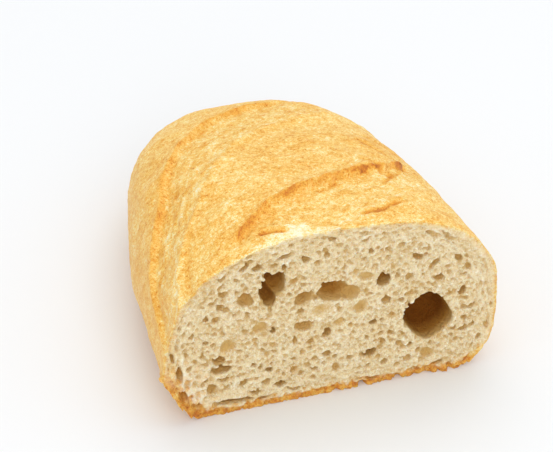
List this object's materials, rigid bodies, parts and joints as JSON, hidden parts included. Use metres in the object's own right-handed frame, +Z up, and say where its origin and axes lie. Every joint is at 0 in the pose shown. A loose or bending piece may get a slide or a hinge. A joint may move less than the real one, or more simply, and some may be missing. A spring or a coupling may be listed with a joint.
{
  "type": "half loaf of white bread",
  "caption": "Half of a small free-form white loaf, cut straight across, with a scored golden crust, an open crumb and a flat baked base to rest on.",
  "frame": {"origin": "middle of the bounding box, on the surface that the loaf rests on", "axes": "+Z up, +Y along the loaf from the cut face towards the rounded tail, +X across, to the right when the cut face is looked at"},
  "size_m": [0.095, 0.115, 0.0559],
  "materials": {
    "baked_crust": "matt baked crust, golden on top and browner at the base; the cut face is pale cream crumb"
  },
  "bodies": {
    "root": {"loaf_half": "baked_crust"}
  },
  "joints": []
}
